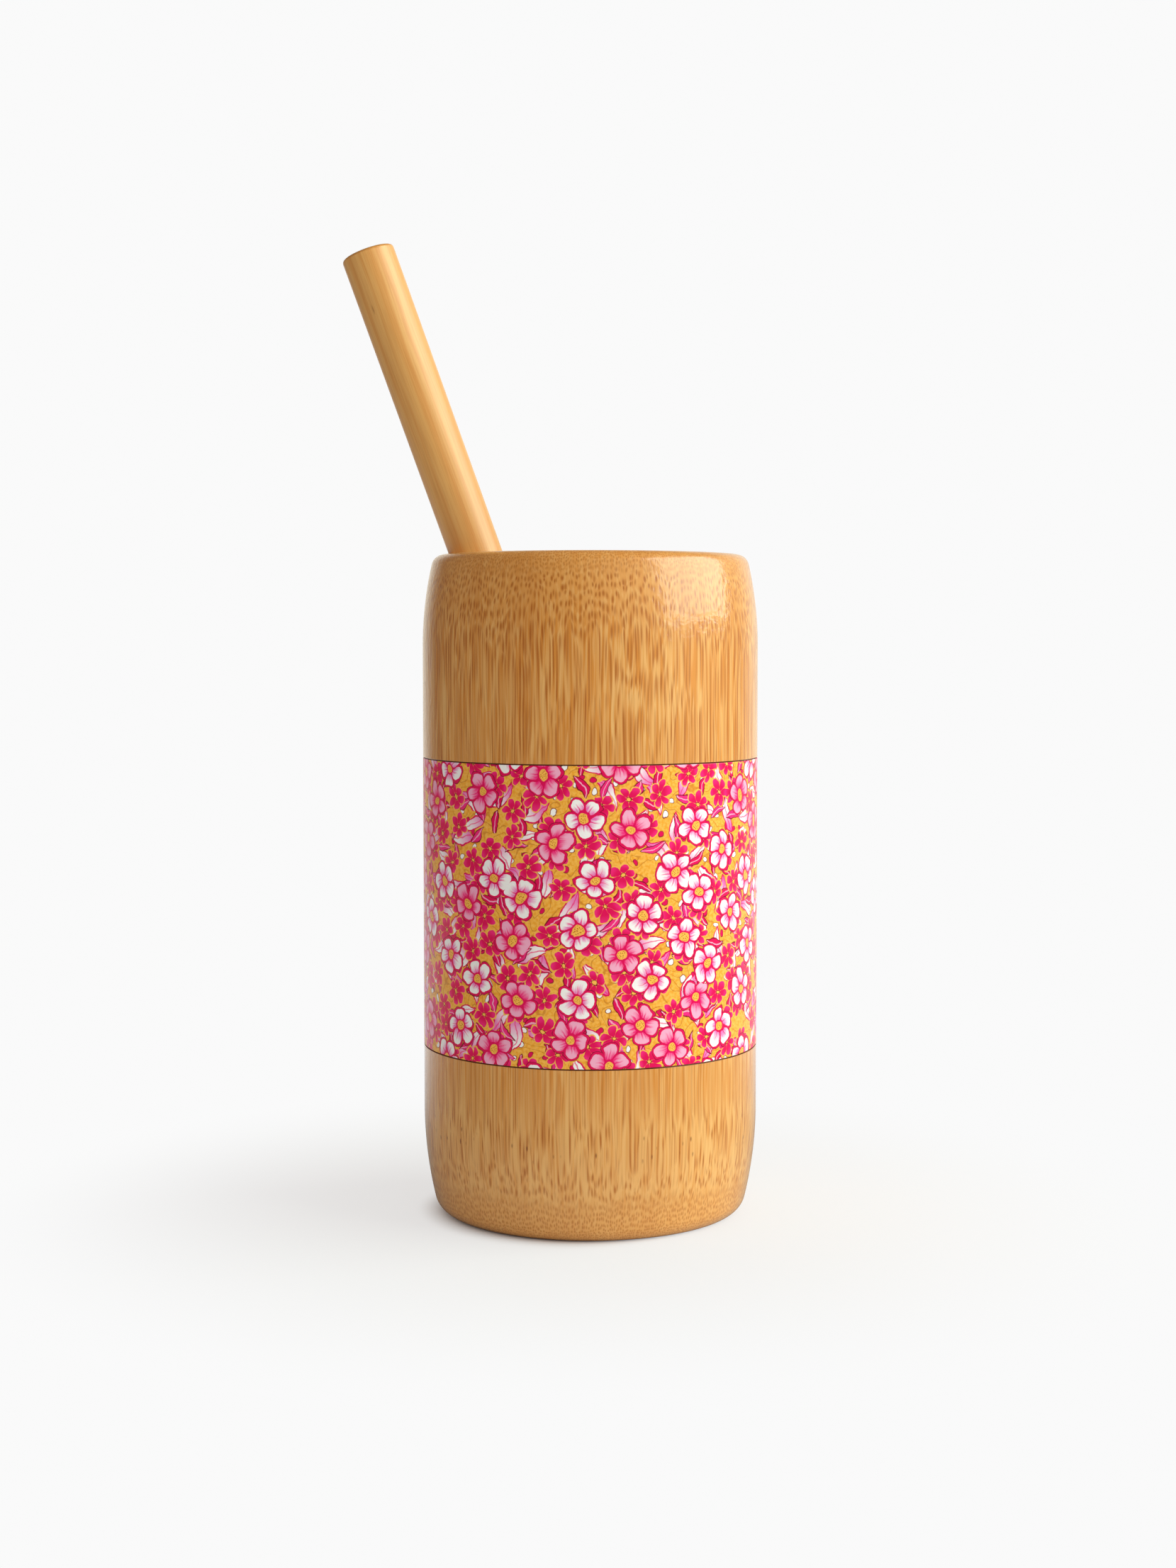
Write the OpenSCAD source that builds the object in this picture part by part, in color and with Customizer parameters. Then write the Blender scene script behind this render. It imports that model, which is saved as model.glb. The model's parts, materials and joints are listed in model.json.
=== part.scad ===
// Drinking cup turned from one length of thick-walled bamboo, with a printed film let in flush
// round its middle and a loose bamboo straw that leans on the rim.
// Millimetres, +Z up. The origin is the centre of the foot ring, on the table.
// The culm's own node, a wall that grows across the stem, is the floor of the cup.

/* [Cup] */
// Outside diameter of the turned culm
cup_od = 75; // [66:0.5:90]
// Height from the foot ring to the top of the lip
cup_h = 147.5; // [125:0.5:180]
// Thickness of the culm wall beside the drink
wall = 5.8; // [4.8:0.1:8]

/* [Rim] */
// Height over which the side draws in to the lip
shoulder_h = 20.5; // [14:0.5:28]
// Radius of the lip's outer edge
lip_out_r = 2.8; // [1.6:0.1:3.4]
// Radius of the lip's inner edge
lip_in_r = 1; // [0.5:0.1:1.3]

/* [Foot] */
// Height over which the side draws in to the foot
base_h = 24; // [16:0.5:30]
// Radius of the heel, where the side turns under
heel_r = 4.4; // [2.5:0.1:5.2]
// How far in from the side the flat ring that the cup stands on begins
foot_in = 6.7; // [5.5:0.1:9]
// Width of that ring
foot_ring_w = 5.8; // [4:0.1:10]
// Easing of the ring's inner edge
foot_ease = 0.8; // [0.3:0.1:1.5]

/* [Floor] */
// Height of the floor where it meets the wall
floor_z = 26; // [20:0.5:34]
// Thickness of the node at its edge
node_t = 6.5; // [5:0.1:9]
// Depth of the dish in the middle of the floor
dish_h = 1.2; // [0.6:0.1:1.8]
// Rise of the arch under the node
arch_h = 1.4; // [0.6:0.1:1.8]
// Radius of the fillet between floor and wall
floor_r = 5; // [3:0.1:6]

/* [Printed band] */
// Height of the band's lower edge
band_z = 38.2; // [35:0.1:46]
// Distance from the top of the lip down to the band's upper edge
band_drop = 45.2; // [36:0.1:60]
// Thickness of the printed film
film_t = 0.35; // [0.2:0.05:0.6]
// Thickness of the adhesive under the film
glue_t = 0.15; // [0.1:0.05:0.25]
// Hairline gap between the film and the wood at each edge
edge_gap = 0.25; // [0.1:0.05:0.4]
// Gap where the film's two ends meet at the back
seam_gap = 0.3; // [0.1:0.05:0.5]

/* [Straw] */
// Length of the straw
straw_len = 200; // [165:1:240]
// Outside diameter at the foot
straw_foot_d = 10.9; // [9:0.1:13]
// How much wider the straw is at the drinking end
straw_taper = 1.1; // [0:0.1:2]
// Wall of the straw at its foot
straw_wall = 1.45; // [1.2:0.05:2]
// Easing of the straw's outer edges
straw_ease = 0.8; // [0.4:0.1:0.9]
// Distance from the straw's foot to where the floor's fillet begins
straw_in = 3.2; // [1:0.1:8]
// Direction in which the straw leans, turned from +X
lean_turn = 175; // [0:1:360]
// Clearance between the straw and what it rests on
straw_clear = 0.2; // [0.1:0.05:0.4]

/* [Hidden] */
// Overrun of every cut past the face that it opens
over = 1;
// Segments of the lathe, and steps of a long arc and of a small edge arc
turn_fn = 180;
long_steps = 18;
edge_steps = 10;
// Easing of the straw's inner edges, and how far the adhesive stops short of the film's edges
bore_ease = 0.3;
glue_inset = 0.6;
// The lean is found in rounds, from a first guess
lean_rounds = 6;
first_lean = 20;

cup_r = cup_od / 2;
bore_r = cup_r - wall;
// The lip's crest is where its two edge radii meet
crest_r = bore_r + lip_in_r;
foot_r = cup_r - foot_in;
hollow_r = foot_r - foot_ring_w;
band_h = cup_h - band_drop - band_z;
recess_r = cup_r - film_t - glue_t;
// Where the floor's fillet begins, and the spheres that dish the floor and arch the underside
flat_r = bore_r - floor_r;
dish_r = sphere_through(flat_r, dish_h);
arch_r = sphere_through(hollow_r, arch_h);
hollow_z = floor_z - node_t;

straw_foot_r = straw_foot_d / 2;
straw_top_r = straw_foot_r + straw_taper / 2;
straw_bore_r = straw_foot_r - straw_wall;
foot_out = flat_r - straw_foot_r - straw_in;
straw_lean = lean_after(lean_rounds);
straw_way = [sin(straw_lean) * cos(lean_turn), sin(straw_lean) * sin(lean_turn), cos(straw_lean)];
straw_foot = [-foot_out * cos(lean_turn), -foot_out * sin(lean_turn), foot_z(straw_lean)];

echo(straw_lean=straw_lean, straw_way=straw_way, straw_foot=straw_foot);
echo(bore_r=bore_r, crest_r=crest_r, straw_top=straw_foot + straw_len * straw_way);

// Radius of a sphere whose cap is this wide and this high
function sphere_through(half, rise) = (half * half + rise * rise) / (2 * rise);

// Height of the dished floor at a distance from its middle
function floor_at(u) = floor_z - dish_h + dish_r - sqrt(dish_r * dish_r - u * u);

// Radius of the straw at a distance from its foot
function straw_r(s) = straw_foot_r + (straw_top_r - straw_foot_r) * s / straw_len;

// The lowest point of the straw's tilted, eased foot, from the cup's axis in the plane of the lean
function foot_low_u(t) = -foot_out + (straw_foot_r - straw_ease) * cos(t) + straw_ease * sin(t);

// Height of the middle of the straw's foot at a lean
function foot_z(t) = floor_at(foot_low_u(t)) + straw_clear
    + (straw_foot_r - straw_ease) * sin(t) + straw_ease * (1 - cos(t));

// The lean at which the straw's side clears the lip's inner edge, from the foot's height at the last lean
function lean_from(t) =
    let (across = crest_r + foot_out)
    let (up = cup_h - lip_in_r - foot_z(t))
    let (reach = norm([across, up]))
    let (off = lip_in_r + straw_clear + straw_r(up / cos(t)) / cos(taper()))
    acos(off / reach) - atan2(up, across);

// Half angle of the straw's taper
function taper() = atan2(straw_top_r - straw_foot_r, straw_len);

// The lean settles after a few rounds
function lean_after(rounds) = rounds < 1 ? first_lean : lean_from(lean_after(rounds - 1));

// Points along an arc about a centre, from one angle to another
function arc(centre, r, from, to, steps) =
    [for (i = [0:steps]) let (a = from + (to - from) * i / steps) centre + r * [cos(a), sin(a)]];

// A side that draws in over a height above Z = 0: a long arc from the vertical side runs without
// a corner into a short edge arc, which ends level at the crest.
function drawn_in(side_r, crest, edge_r, height) =
    let (across = side_r - edge_r - crest)
    let (up = height - edge_r)
    let (turn = 2 * atan2(across, up))
    let (long_r = up / sin(turn) + edge_r)
    concat(
        arc([side_r - long_r, 0], long_r, 0, turn, long_steps),
        arc([crest, height - edge_r], edge_r, turn, 90, edge_steps)
    );

// The same outline moved up, or turned upside down and read from the crest
function moved_up(points, up) = [for (p = points) p + [0, up]];
function upside_down(points, up) = [for (i = [len(points) - 1:-1:0]) [points[i].x, up - points[i].y]];

// Half section of the culm, anticlockwise from the heel: side with the band's seat, lip, inside
// with its fillet and dished floor, arched hollow under the node, and foot ring.
function culm_section() = concat(
    upside_down(drawn_in(cup_r, foot_r, heel_r, base_h), base_h),
    [
        [cup_r, band_z - edge_gap], [recess_r, band_z - edge_gap],
        [recess_r, band_z + band_h + edge_gap], [cup_r, band_z + band_h + edge_gap]
    ],
    moved_up(drawn_in(cup_r, crest_r, lip_out_r, shoulder_h), cup_h - shoulder_h),
    arc([crest_r, cup_h - lip_in_r], lip_in_r, 90, 180, edge_steps),
    arc([flat_r, floor_z + floor_r], floor_r, 0, -90, edge_steps),
    arc([0, floor_z - dish_h + dish_r], dish_r, asin(flat_r / dish_r) - 90, -90, long_steps),
    arc([0, hollow_z + arch_h - arch_r], arch_r, 90, acos(hollow_r / arch_r), long_steps),
    arc([hollow_r + foot_ease, foot_ease], foot_ease, 180, 270, edge_steps)
);

// The culm: side, lip, node and foot ring in one piece, as it grew
module cup_body() {
    color([0.80, 0.56, 0.30])
        rotate_extrude($fn=turn_fn) polygon(culm_section());
}

// A sleeve of the band with its butt seam open at the back
module wrapped_sheet(inner_r, thick, low, high) {
    difference() {
        translate([0, 0, low])
            rotate_extrude($fn=turn_fn)
                translate([inner_r, 0]) square([thick, high - low]);
        translate([-seam_gap / 2, 0, low - over])
            cube([seam_gap, inner_r + thick + over, high - low + 2 * over]);
    }
}

// Adhesive layer between the seat and the film
module wrap_adhesive() {
    color([0.86, 0.84, 0.76])
        wrapped_sheet(recess_r, glue_t, band_z + glue_inset, band_z + band_h - glue_inset);
}

// Printed film, flush with the wood
module printed_wrap() {
    color([0.88, 0.35, 0.55])
        wrapped_sheet(recess_r + glue_t, film_t, band_z, band_z + band_h);
}

// Half section of the straw about its own axis, with eased ends
function straw_section() =
    let (low_r = straw_r(straw_ease) - straw_ease)
    let (high_r = straw_r(straw_len - straw_ease) - straw_ease)
    concat(
        arc([low_r, straw_ease], straw_ease, -90, 0, edge_steps),
        arc([high_r, straw_len - straw_ease], straw_ease, 0, 90, edge_steps),
        [
            [straw_bore_r + bore_ease, straw_len], [straw_bore_r, straw_len - bore_ease],
            [straw_bore_r, bore_ease], [straw_bore_r + bore_ease, 0]
        ]
    );

// The straw, standing on the dished floor and leaning on the lip
module straw() {
    color([0.87, 0.68, 0.40])
        translate(straw_foot) rotate([0, straw_lean, lean_turn])
            rotate_extrude($fn=turn_fn) polygon(straw_section());
}

cup_body();
wrap_adhesive();
printed_wrap();
straw();
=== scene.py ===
# %% [markdown]
# # A bamboo cup with a printed band and a straw
# The sizes and the joint of this cup are already settled in a CAD model, which is loaded here as a
# fixed frame. This notebook gives it its looks: one piece of mesh for each piece of the real cup,
# and one material for each finish. Every piece ends up in the place that the frame gives it.

# %% Load the frame
import json
import math
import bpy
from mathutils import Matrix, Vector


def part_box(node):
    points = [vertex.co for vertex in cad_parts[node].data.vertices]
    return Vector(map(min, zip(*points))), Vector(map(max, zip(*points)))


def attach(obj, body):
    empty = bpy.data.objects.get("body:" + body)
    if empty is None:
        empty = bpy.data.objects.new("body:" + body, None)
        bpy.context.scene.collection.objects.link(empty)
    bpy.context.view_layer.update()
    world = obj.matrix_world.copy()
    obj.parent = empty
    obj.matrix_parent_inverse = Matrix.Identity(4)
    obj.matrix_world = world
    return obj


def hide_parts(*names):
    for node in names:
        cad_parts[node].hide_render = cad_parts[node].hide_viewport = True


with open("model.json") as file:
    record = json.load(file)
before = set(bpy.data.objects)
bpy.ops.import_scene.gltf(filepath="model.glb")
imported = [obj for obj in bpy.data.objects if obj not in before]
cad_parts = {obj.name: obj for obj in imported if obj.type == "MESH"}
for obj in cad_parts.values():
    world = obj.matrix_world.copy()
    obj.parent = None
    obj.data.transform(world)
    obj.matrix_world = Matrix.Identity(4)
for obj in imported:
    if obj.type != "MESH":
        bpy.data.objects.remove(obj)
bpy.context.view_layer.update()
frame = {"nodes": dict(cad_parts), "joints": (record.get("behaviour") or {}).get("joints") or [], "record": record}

from types import SimpleNamespace

import bpy
from mathutils import Matrix, Vector

MM = 0.001


def in_mm(place):
    return [round(value / MM, 1) for value in place]


# %% [markdown]
# ## Sizes
# The frame knows every outside size, so those are read from it and not typed again. What its boxes
# can't tell, such as a wall or the radius of an edge, is repeated from the CAD model by name.

# %% Sizes from the frame, and the ones that its boxes can't tell
def radius_of(node):
    """The radius of a round node about the Z axis, from the tightest side of its box."""
    low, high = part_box(node)
    return min(-low.x, -low.y, high.x, high.y)


cup_r = radius_of("cup_body")
cup_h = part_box("cup_body")[1].z
band_low, band_high = (corner.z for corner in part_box("printed_wrap"))
film_r = radius_of("printed_wrap")

wall = 5.8 * MM
shoulder_h, lip_out_r, lip_in_r = 20.5 * MM, 2.8 * MM, 1.0 * MM
base_h, heel_r, foot_in = 24.0 * MM, 4.4 * MM, 6.7 * MM
foot_ring_w, foot_ease = 5.8 * MM, 0.8 * MM
floor_z, node_t, dish_h, arch_h, floor_r = 26.0 * MM, 6.5 * MM, 1.2 * MM, 1.4 * MM, 5.0 * MM
film_t, glue_t, edge_gap, seam_gap = 0.35 * MM, 0.15 * MM, 0.25 * MM, 0.3 * MM

bore_r = cup_r - wall
crest_r = bore_r + lip_in_r
foot_r = cup_r - foot_in
hollow_r = foot_r - foot_ring_w
hollow_z = floor_z - node_t
seat_r = cup_r - film_t - glue_t
print(f"cup {2 * cup_r / MM:.1f} x {cup_h / MM:.1f} mm,",
      f"band {band_low / MM:.1f} to {band_high / MM:.1f} mm")

# %% Sizes of the straw, from its bore in the record and its joint
straw_bore = next(mount for mount in frame["record"]["mounts"] if mount["name"] == "straw_bore")
straw_way = Vector(frame["joints"][0]["axis"]).normalized()
straw_lean = straw_way.angle(Vector((0, 0, 1)))
straw_bore_r = straw_bore["dims"]["r_mm"] * MM
bore_ease, straw_ease = 0.3 * MM, 0.8 * MM
straw_len = straw_bore["dims"]["length_mm"] * MM + 2 * bore_ease
straw_foot = Vector(straw_bore["pos_m"]) - straw_way * straw_len / 2
# A hundredth less than in the CAD model, so that rounding can't put the straw outside its box
straw_foot_r, straw_taper = 5.44 * MM, 1.1 * MM
print(f"straw {straw_len / MM:.0f} mm, leaning {math.degrees(straw_lean):.1f} degrees")

# %% [markdown]
# ## The camera
# The photograph was taken from just under the height of the lip, so the lip shows as one thin
# line and the band's lower edge sags more than its upper one. Those curves fix the distance: a
# camera further away would flatten them. The camera comes first, because every later choice is
# judged through it.

# %% Camera at the photograph's viewpoint
scene = bpy.context.scene
camera_back, camera_up, camera_side = 534.1 * MM, 129.8 * MM, -0.5 * MM
camera_pitch = math.radians(3.60)


def new_object(name, data):
    """Puts a camera, a lamp or a mesh in the scene."""
    made = bpy.data.objects.new(name, data)
    scene.collection.objects.link(made)
    return made


camera_data = bpy.data.cameras.new("Camera")
camera_data.sensor_width = 36.0
camera_data.lens = 54.6
camera_data.clip_start = 10 * MM
camera = new_object("Camera", camera_data)
camera.location = (camera_side, -camera_back, camera_up)
camera.rotation_euler = (math.radians(90) - camera_pitch, 0, 0)
scene.camera = camera
print("camera looks down by", round(math.degrees(camera_pitch), 2), "degrees")

# %% [markdown]
# ## A short way to write node trees
# Materials and Geometry Nodes are both trees of nodes. Written out in full, each node takes four
# or five lines. With the two small classes here a tree reads like a formula instead. A graph adds
# a node, fills its sockets with numbers or links, and gives back its output as a value. Between
# values the usual signs work, and each sign adds one Math node.

# %% Values, and the graph that adds nodes for them
def sign(operation, swapped=False):
    """What a sign between two values does: it adds a Math node to their graph."""
    def add_math(self, other=0.0):
        first, second = (other, self) if swapped else (self, other)
        return self.graph.math(operation, first, second)
    return add_math


class Value:
    """One output socket of a graph."""

    def __init__(self, graph, socket):
        self.graph, self.socket = graph, socket

    __add__ = __radd__ = sign("ADD")
    __sub__, __rsub__ = sign("SUBTRACT"), sign("SUBTRACT", swapped=True)
    __mul__ = __rmul__ = sign("MULTIPLY")
    __truediv__, __rtruediv__ = sign("DIVIDE"), sign("DIVIDE", swapped=True)
    __gt__, __abs__ = sign("GREATER_THAN"), sign("ABSOLUTE")


class Graph:
    """Adds nodes to one tree, and is called g below. A socket goes by its number or name."""

    def __init__(self, tree):
        self.tree = tree

    def fill(self, socket, value):
        if isinstance(value, Value):
            self.tree.links.new(value.socket, socket)
        else:
            socket.default_value = value

    def add_node(self, kind, inputs=None, **settings):
        made = self.tree.nodes.new(kind)
        for key, value in settings.items():
            setattr(made, key, value)
        for key, value in (inputs or {}).items():
            self.fill(made.inputs[key], value)
        return made

    def node(self, kind, inputs=None, out=0, **settings):
        """Adds a node and gives back one of its outputs."""
        return Value(self, self.add_node(kind, inputs, **settings).outputs[out])

    def outputs(self, kind, inputs=None, **settings):
        """Adds a node and gives back all of its outputs, by name."""
        made = self.add_node(kind, inputs, **settings)
        return {socket.name: Value(self, socket) for socket in made.outputs}

    def math(self, operation, a, b=0.0, c=0.0):
        return self.node("ShaderNodeMath", {0: a, 1: b, 2: c}, operation=operation)

    def least(self, a, b):
        return self.math("MINIMUM", a, b)

    def most(self, a, b):
        return self.math("MAXIMUM", a, b)

    def length(self, a, b):
        return self.math("SQRT", a * a + b * b)

    def fade(self, value, start, end, low=0.0, high=1.0):
        """Runs smoothly from low, at start, to high, at end. start may be the larger one."""
        return self.node(
            "ShaderNodeMapRange", {0: value, 1: start, 2: end, 3: low, 4: high},
            interpolation_type="SMOOTHSTEP",
        )

    def vector(self, operation, a, b):
        return self.node("ShaderNodeVectorMath", {0: a, 1: b}, operation=operation)

    def scaled(self, a, scale):
        """A vector times a number, or times one number for each axis."""
        if isinstance(scale, tuple):
            return self.vector("MULTIPLY", a, scale)
        return self.node("ShaderNodeVectorMath", {0: a, 3: scale}, operation="SCALE")

    def join(self, x=0.0, y=0.0, z=0.0):
        return self.node("ShaderNodeCombineXYZ", {0: x, 1: y, 2: z})

    def split(self, vector):
        return list(self.outputs("ShaderNodeSeparateXYZ", {0: vector}).values())


# %% [markdown]
# The finishes need a few more kinds of node. Pictures could give the wood its streaks and dots,
# but they would stretch or show a seam on round pieces. Noise and Voronoi cells fill all of space
# instead, so a shape cut from them is covered everywhere, at the true size.

# %% Helpers for colours and materials
def srgb(red, green, blue):
    """A colour as a picture editor gives it, 0 to 255, turned into Blender's linear light."""
    def linear(value):
        share = value / 255
        return share / 12.92 if share <= 0.04045 else ((share + 0.055) / 1.055) ** 2.4
    return linear(red), linear(green), linear(blue), 1.0


class Shade(Graph):
    """A graph of shader nodes, with noise, cells and mixes of colour."""

    def noise(self, place, scale=1.0, detail=2.0, out=0):
        inputs = {"Vector": self.scaled(place, scale), "Scale": 1.0, "Detail": detail}
        return self.node("ShaderNodeTexNoise", inputs, out)

    def shake(self, place, scale, amount):
        """A vector that wanders about zero by up to about half of amount."""
        cloud = self.noise(place, scale, detail=1.0, out=1)
        return self.scaled(self.vector("SUBTRACT", cloud, (0.5, 0.5, 0.5)), amount)

    def cells(self, place, scale, randomness=1.0, dimensions="2D"):
        inputs = {"Vector": self.scaled(place, scale), "Scale": 1.0, "Randomness": randomness}
        return self.outputs("ShaderNodeTexVoronoi", inputs, voronoi_dimensions=dimensions)

    def specks(self, place, scale, reach, full, rare):
        """Spots scattered through a solid, in those cells whose random number is above rare. A
        spot fades out at one distance from its middle, reach, and is full at another."""
        cell = self.cells(place, scale, dimensions="3D")
        return self.fade(cell["Distance"], reach, full) * (self.split(cell["Color"])[0] > rare)

    def blend(self, share, a, b):
        """Between two numbers, as mix is between two colours."""
        return self.node("ShaderNodeMix", {0: share, 2: a, 3: b})

    def mix(self, share, a, b):
        return self.node("ShaderNodeMix", {0: share, 6: a, 7: b}, out=2, data_type="RGBA")

    def bump(self, height, strength, depth):
        inputs = {"Strength": strength, "Distance": depth, "Height": height}
        return self.node("ShaderNodeBump", inputs)

    def surface(self, **values):
        """Fills sockets of the ready-made surface node. In their names _ stands for a space."""
        for name, value in values.items():
            socket = self.tree.nodes["Principled BSDF"].inputs[name.replace("_", " ")]
            self.fill(socket, value)


def graph_of(owner, emptied=False):
    """The graph of a material or a world, with or without its ready-made nodes."""
    owner.use_nodes = True
    if emptied:
        owner.node_tree.nodes.clear()
    return Shade(owner.node_tree)


def new_material(name, build, emptied=False):
    """A material whose nodes are added by another function."""
    material = bpy.data.materials.new(name)
    build(graph_of(material, emptied))
    print(f"material: {name}, {len(material.node_tree.nodes)} nodes")
    return material


def object_mm(g):
    """The place on the object itself, in millimetres."""
    return g.scaled(g.node("ShaderNodeTexCoord", out="Object"), 1 / MM)


# %% [markdown]
# ## Outlines
# The cup and the straw were both turned on a lathe, so each is one outline spun about an axis. An
# outline is a list of points, radius and height, and every round stretch of it is an arc. Next to
# a sharp corner two extra points stand close together. Smooth shading blends over a whole face,
# and with a narrow face at the corner the blend stays in the corner.

# %% Arcs and the drawn-in side
def arc(centre, radius, start, end, steps):
    """Points along an arc, with angles in degrees."""
    turns = [math.radians(start + (end - start) * step / steps) for step in range(steps + 1)]
    return [(centre[0] + radius * math.cos(t), centre[1] + radius * math.sin(t)) for t in turns]


def drawn_in(side_r, top_r, edge_r, height, long_steps=24, edge_steps=12):
    """A side above Z = 0 that draws in: a long arc runs without a corner into a short one."""
    across, up = side_r - edge_r - top_r, height - edge_r
    turn = math.degrees(2 * math.atan2(across, up))
    long_r = up / math.sin(math.radians(turn)) + edge_r
    return (
        arc((side_r - long_r, 0), long_r, 0, turn, long_steps)
        + arc((top_r, height - edge_r), edge_r, turn, 90, edge_steps)[1:]
    )


def held(before, corner, after, hold=0.04 * MM):
    """A sharp corner, with a point on either side of it that keeps the shading in the corner."""
    ways = [(Vector(end) - Vector(corner)).normalized() for end in (before, after)]
    near, past = (tuple(Vector(corner) + way * hold) for way in ways)
    return [near, corner, past]


def even(points):
    """Points at which the wood keeps its exact radius."""
    return [(r, z, 0.0) for r, z in points]


print("the lip's side arc has", len(drawn_in(cup_r, crest_r, lip_out_r, shoulder_h)), "points")

# %% [markdown]
# The real cup is one piece of culm. Its floor is the node, the wall that bamboo grows across
# itself, so the outline runs from the heel up the side, over the lip, down the inside, across the
# floor, and back under the node to the foot ring. Where the band lies, the side steps back to a
# shallow seat. The inside was never turned, so each point also says how much the wood may swell
# and sink there: nothing on the turned outside, and up to one share inside. The last point is the
# first one again, so that the foot ring closes.

# %% Outline of the culm
def culm_outline():
    """(radius, height, unevenness) of every point, from the heel round to the foot ring."""
    heel = [(r, base_h - z) for r, z in reversed(drawn_in(cup_r, foot_r, heel_r, base_h))]
    seat_low, seat_high = band_low - edge_gap, band_high + edge_gap
    corners = [
        heel[-1], (cup_r, seat_low), (seat_r, seat_low), (seat_r, seat_high), (cup_r, seat_high),
        (cup_r, cup_h - shoulder_h),
    ]
    seat = [
        point for before, here, after in zip(corners, corners[1:], corners[2:])
        for point in held(before, here, after)
    ]
    shoulder = [
        (r, z + cup_h - shoulder_h) for r, z in drawn_in(cup_r, crest_r, lip_out_r, shoulder_h)
    ]
    lip = arc((crest_r, cup_h - lip_in_r), lip_in_r, 90, 180, 12)[1:]

    wall_top, wall_foot = cup_h - 3 * lip_in_r, floor_z + floor_r
    wall_steps, ramp_steps = 40, 8
    inside = [
        (bore_r, wall_top + (wall_foot - wall_top) * step / wall_steps,
         min(1.0, step / ramp_steps, (wall_steps - step) / ramp_steps))
        for step in range(wall_steps)
    ]
    flat_r = bore_r - floor_r
    fillet = arc((flat_r, floor_z + floor_r), floor_r, 0, -90, 12)
    dish_r = (flat_r ** 2 + dish_h ** 2) / (2 * dish_h)
    arch_r = (hollow_r ** 2 + arch_h ** 2) / (2 * arch_h)
    dish_edge = math.degrees(math.asin(flat_r / dish_r)) - 90
    arch_edge = math.degrees(math.acos(hollow_r / arch_r))
    floor = arc((0, floor_z - dish_h + dish_r), dish_r, dish_edge, -90, 24)[1:]
    under = arc((0, hollow_z + arch_h - arch_r), arch_r, 90, arch_edge, 24)
    corner = held(under[-2], under[-1], (hollow_r, foot_ease), 0.4 * MM)
    ring = arc((hollow_r + foot_ease, foot_ease), foot_ease, 180, 270, 8)
    outside = even(heel + seat + shoulder + lip)
    return outside + inside + even(fillet + floor + under[:-1] + corner + ring) + outside[:1]


def straw_outline():
    """The straw about its own axis, from the outer edge of its foot round to the bore."""
    def outer_r(z):
        return straw_foot_r + straw_taper / 2 * z / straw_len
    top = straw_len - straw_ease
    sides, side_share = 30, 0.6
    heights = [straw_ease + (top - straw_ease) * step / sides for step in range(1, sides)]
    outside = [(outer_r(z), z, side_share) for z in heights]
    foot = even(arc((outer_r(straw_ease) - straw_ease, straw_ease), straw_ease, -90, 0, 10))
    top_edge = arc((outer_r(top) - straw_ease, top), straw_ease, 0, 90, 10)
    quarters = [straw_len * share for share in (0.75, 0.5, 0.25)]
    bore = [(straw_bore_r, z) for z in (straw_len - bore_ease, *quarters, bore_ease)]
    bore_top, bore_foot = ([(straw_bore_r + bore_ease, z)] for z in (straw_len, 0))
    return foot + outside + even(top_edge + bore_top + bore + bore_foot) + foot[:1]


print("points in the outlines:", len(culm_outline()), "culm,", len(straw_outline()), "straw")

# %% [markdown]
# ## Spinning an outline with Geometry Nodes
# The Spin tool or the Screw modifier would turn an outline too, but a node tree keeps the whole
# rule in one place and can roughen the wood as it spins it. The tree makes a flat grid with one
# row for each point of the outline and one column for each step round the axis. It then moves
# every grid point to its place, and merges the points that meet, which closes the sheet.

# %% The lathe as a node tree
LATHE_INPUTS = (
    ("Outline", "NodeSocketGeometry", None),
    ("Segments", "NodeSocketInt", 256),
    ("Swell", "NodeSocketFloat", 0.0),
    ("Swell Width", "NodeSocketFloat", 12 * MM),
    ("Swell Length", "NodeSocketFloat", 60 * MM),
    ("Finish", "NodeSocketMaterial", None),
)


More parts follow.
